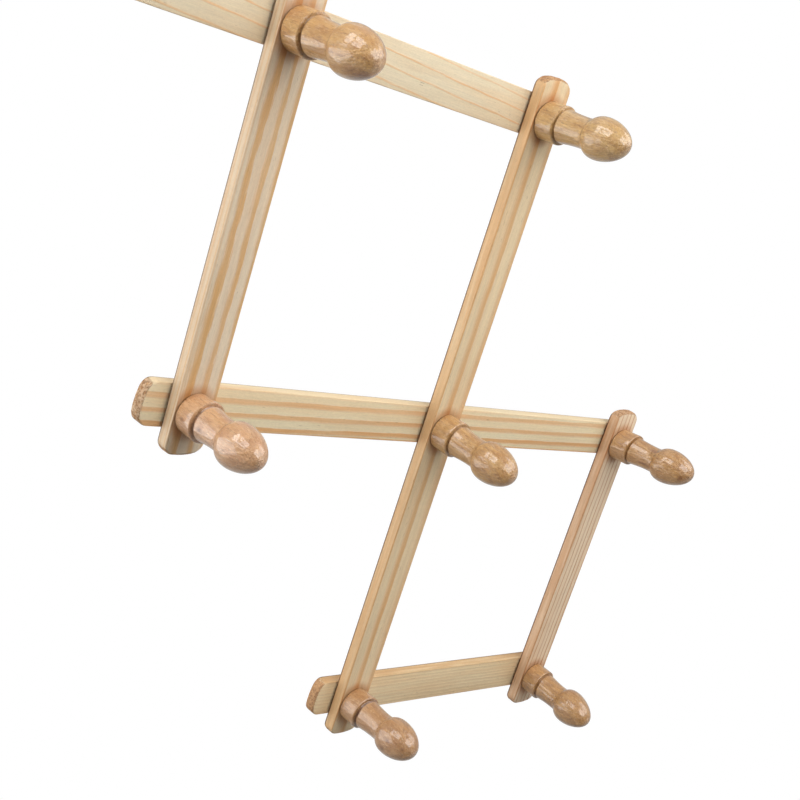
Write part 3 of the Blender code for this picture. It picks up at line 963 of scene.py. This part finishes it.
def screw_mesh(finish):
    """A pan head with a cross recess, a threaded shank and a gimlet point."""
    rows = [(0, SCREW_LENGTH)]
    for i in range(1, SHANK_STEPS + 1):
        height = SCREW_LENGTH * (1 - i / SHANK_STEPS)
        taper = min(1.0, (SCREW_LENGTH - height) / SCREW_POINT)
        rows.append((SCREW_RADIUS * taper**0.8, height))
    rows.append((SCREW_HEAD_RADIUS - 0.1 * MM, 0))
    for i in range(PAN_STEPS):
        turn = pi / 2 * i / PAN_STEPS
        radius = SCREW_HEAD_RADIUS * cos(turn) ** 0.75
        rows.append((radius, -0.1 * MM - (SCREW_HEAD_HEIGHT - 0.1 * MM) * sin(turn)))
    rows.append((0, -SCREW_HEAD_HEIGHT))
    piece = finished("screw", lathe(rows, SCREW_SEGMENTS, thread), finish, sharp=40)
    for turn in (0, pi / 2):
        blade = bmesh.new()
        bmesh.ops.create_cube(blade, size=1.0)
        for vertex in blade.verts:
            deep = vertex.co.z > 0
            reach = 1.1 * MM if deep else 3.9 * MM
            width = 0.55 * MM if deep else 0.85 * MM
            x = vertex.co.x * reach
            y = vertex.co.y * width
            z = -SCREW_HEAD_HEIGHT + (RECESS_DEPTH if deep else -0.6 * MM)
            turned_x = x * cos(turn) - y * sin(turn)
            turned_y = x * sin(turn) + y * cos(turn)
            vertex.co = Vector((turned_x, turned_y, z))
        carve(piece, finished("blade", blade, finish))
    mesh = piece.data
    mesh.set_sharp_from_angle(angle=radians(40))
    bpy.data.objects.remove(piece)
    return mesh


def make_screw(pivot, mesh, turn):
    """One screw, its head seated on the washer; all ten share a mesh."""
    node = f"screw_{pivot}"
    low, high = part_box(node)
    piece = bpy.data.objects.new(f"zinc_{node}", mesh)
    bpy.context.scene.collection.objects.link(piece)
    seat = Vector(((low.x + high.x) / 2, high.y - SCREW_HEAD_HEIGHT, (low.z + high.z) / 2))
    place(piece, seat, turn, node)


# ---- stage, light and camera -----------------------------------------------
FLOOR_REACH = 1.2
FLOOR_DROP = 1.6
FLOOR_COLOUR = (0.76, 0.76, 0.75)
# the floor looks this much paler to the camera, without lighting the rack from below
FLOOR_GLOW = 0.30


def make_floor():
    shell = bmesh.new()
    bmesh.ops.create_grid(shell, x_segments=1, y_segments=1, size=FLOOR_REACH)
    s = Shader("pale_floor")
    shade = s.remap(s.noise((0.004, 0.004, 0.004)), 0.3, 0.7, 0.98, 1.0)
    s.put(s.surface.inputs["Base Color"], s.tint(FLOOR_COLOUR, shade))
    s.surface.inputs["Roughness"].default_value = 0.7
    s.surface.inputs["Emission Color"].default_value = (1.0, 1.0, 1.0, 1.0)
    path = s.tree.nodes.new("ShaderNodeLightPath")
    glow = s.product(path.outputs["Is Camera Ray"], FLOOR_GLOW)
    s.put(s.surface.inputs["Emission Strength"], glow)
    floor = finished("floor", shell, s.material)
    floor.location.z = -FLOOR_DROP


CAMERA_PLACE = Vector((-0.3712, -0.4189, -0.2329))
CAMERA_TURN = (118.34, -44.89, -68.76)
CAMERA_LENS = 60.7
# the point that the lights face, just right of the rack's middle
LIGHTS_AIM = Vector((0.12, -0.02, 0))
# each light's side of that point, how far off it stands, its size in metres and strength
LIGHTS = {
    "left": ((-0.52, 0.50, -0.69), 1.0, (1.1, 0.8), 2.25),
    "overhead": ((-0.98, 0.08, 0.03), 1.0, (0.6, 0.6), 4.6),
    "front": ((-0.52, -0.78, 0.36), 1.0, (0.66, 0.68), 4.2),
    "right": ((-0.10, -0.46, 0.88), 1.1, (0.8, 0.8), 2.5),
    "top": ((-0.56, 0.45, 0.63), 1.1, (0.8, 0.8), 0.4),
    "far": ((0.72, -0.64, 0.0), 1.3, (0.8, 0.8), 0.4),
}
# the way the camera looks, and the white room's strength behind it and behind the rack
ROOM_WAY = (0.70, 0.63, 0.34)
ROOM_NEAR = 0.06
ROOM_FAR = 0.60


def make_camera():
    data = bpy.data.cameras.new("camera")
    data.lens = CAMERA_LENS
    data.sensor_width = 36
    data.clip_start = 0.02
    camera = bpy.data.objects.new("camera", data)
    camera.location = CAMERA_PLACE
    camera.rotation_euler = [radians(a) for a in CAMERA_TURN]
    bpy.context.scene.collection.objects.link(camera)
    bpy.context.scene.camera = camera


def softbox(name, towards, distance, size, radiance):
    """An area light that looks at the rack from one side; radiance 1 is white paper's."""
    data = bpy.data.lights.new(name, "AREA")
    data.shape = "RECTANGLE"
    data.size, data.size_y = size
    data.energy = radiance * pi * size[0] * size[1]
    light = bpy.data.objects.new(name, data)
    bpy.context.scene.collection.objects.link(light)
    light.location = LIGHTS_AIM + Vector(towards).normalized() * distance
    facing = LIGHTS_AIM - light.location
    light.rotation_euler = facing.to_track_quat("-Z", "Y").to_euler()
    light.visible_camera = False


def make_world():
    """White surroundings, brighter behind the rack than on the camera's side."""
    world = bpy.data.worlds.new("white_room")
    bpy.context.scene.world = world
    world.use_nodes = True
    tree = world.node_tree
    back = tree.nodes["Background"]
    coordinates = tree.nodes.new("ShaderNodeTexCoord")
    side = tree.nodes.new("ShaderNodeVectorMath")
    side.operation = "DOT_PRODUCT"
    side.inputs[1].default_value = ROOM_WAY
    tree.links.new(coordinates.outputs["Generated"], side.inputs[0])
    level = tree.nodes.new("ShaderNodeMapRange")
    for socket, value in zip(level.inputs[1:], (-0.5, 1.0, ROOM_NEAR, ROOM_FAR)):
        socket.default_value = value
    tree.links.new(side.outputs["Value"], level.inputs[0])
    path = tree.nodes.new("ShaderNodeLightPath")
    pick = tree.nodes.new("ShaderNodeMix")
    tree.links.new(path.outputs["Is Camera Ray"], pick.inputs["Factor"])
    tree.links.new(level.outputs[0], pick.inputs["A"])
    pick.inputs["B"].default_value = 1.0
    tree.links.new(pick.outputs["Result"], back.inputs["Strength"])
    back.inputs["Color"].default_value = (1.0, 1.0, 1.0, 1.0)


# ---- the rack --------------------------------------------------------------
make_camera()
for index in range(1, 5):
    make_slat("front", index, index)
for index in range(1, 5):
    make_slat("rear", index, index + 4)
dice = random.Random(11)
washer_finish = zinc("zinc_washer", (0.60, 0.61, 0.60), (0.4, 6.0, 1.0))
screw_shared = screw_mesh(zinc("zinc_screw", (0.66, 0.66, 0.64), (1.5, 1.5, 4.0)))
for number, pivot in enumerate(PIVOTS):
    make_peg(pivot, number + 1)
    make_washer(pivot, washer_finish, dice.uniform(0, 2 * pi))
    make_screw(pivot, screw_shared, dice.uniform(0, 2 * pi))
make_floor()
make_world()
for name, (towards, distance, size, radiance) in LIGHTS.items():
    softbox(name, towards, distance, size, radiance)
bpy.context.scene.view_settings.view_transform = "Standard"
